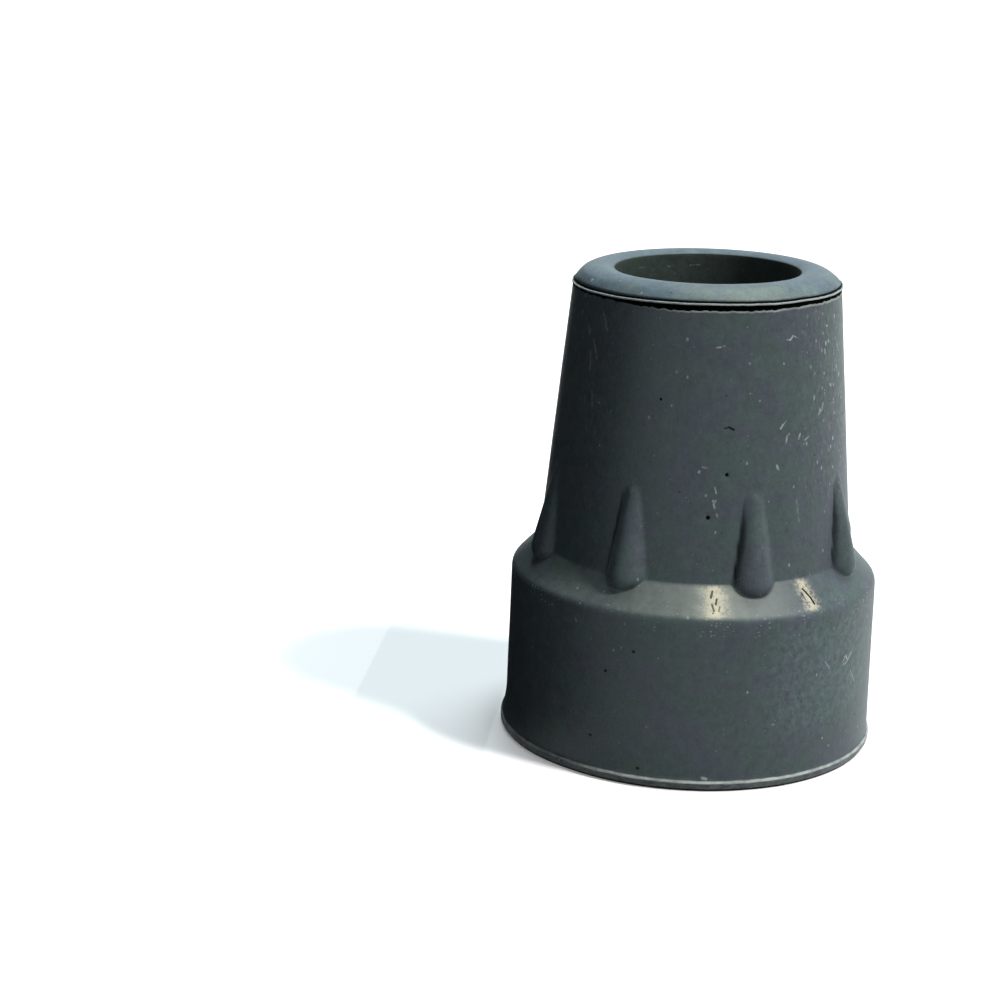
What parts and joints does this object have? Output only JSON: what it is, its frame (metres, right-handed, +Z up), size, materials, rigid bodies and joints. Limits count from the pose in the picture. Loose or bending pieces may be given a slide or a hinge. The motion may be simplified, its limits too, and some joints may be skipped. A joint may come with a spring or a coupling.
{
  "type": "chair leg tip",
  "caption": "Moulded rubber tip for a round chair leg: wide base with a ringed tread, tapered shaft with buttress ribs and a blind socket.",
  "frame": {"origin": "centre of the base on the ground, on the socket's axis", "axes": "+Z up along the socket's axis, towards its mouth; the ribs stand half a pitch off +X and +Y"},
  "size_m": [0.0458, 0.0458, 0.0576],
  "materials": {
    "rubber": "dull grey-green moulded rubber"
  },
  "bodies": {
    "root": {"leg_tip": "rubber"}
  },
  "joints": []
}
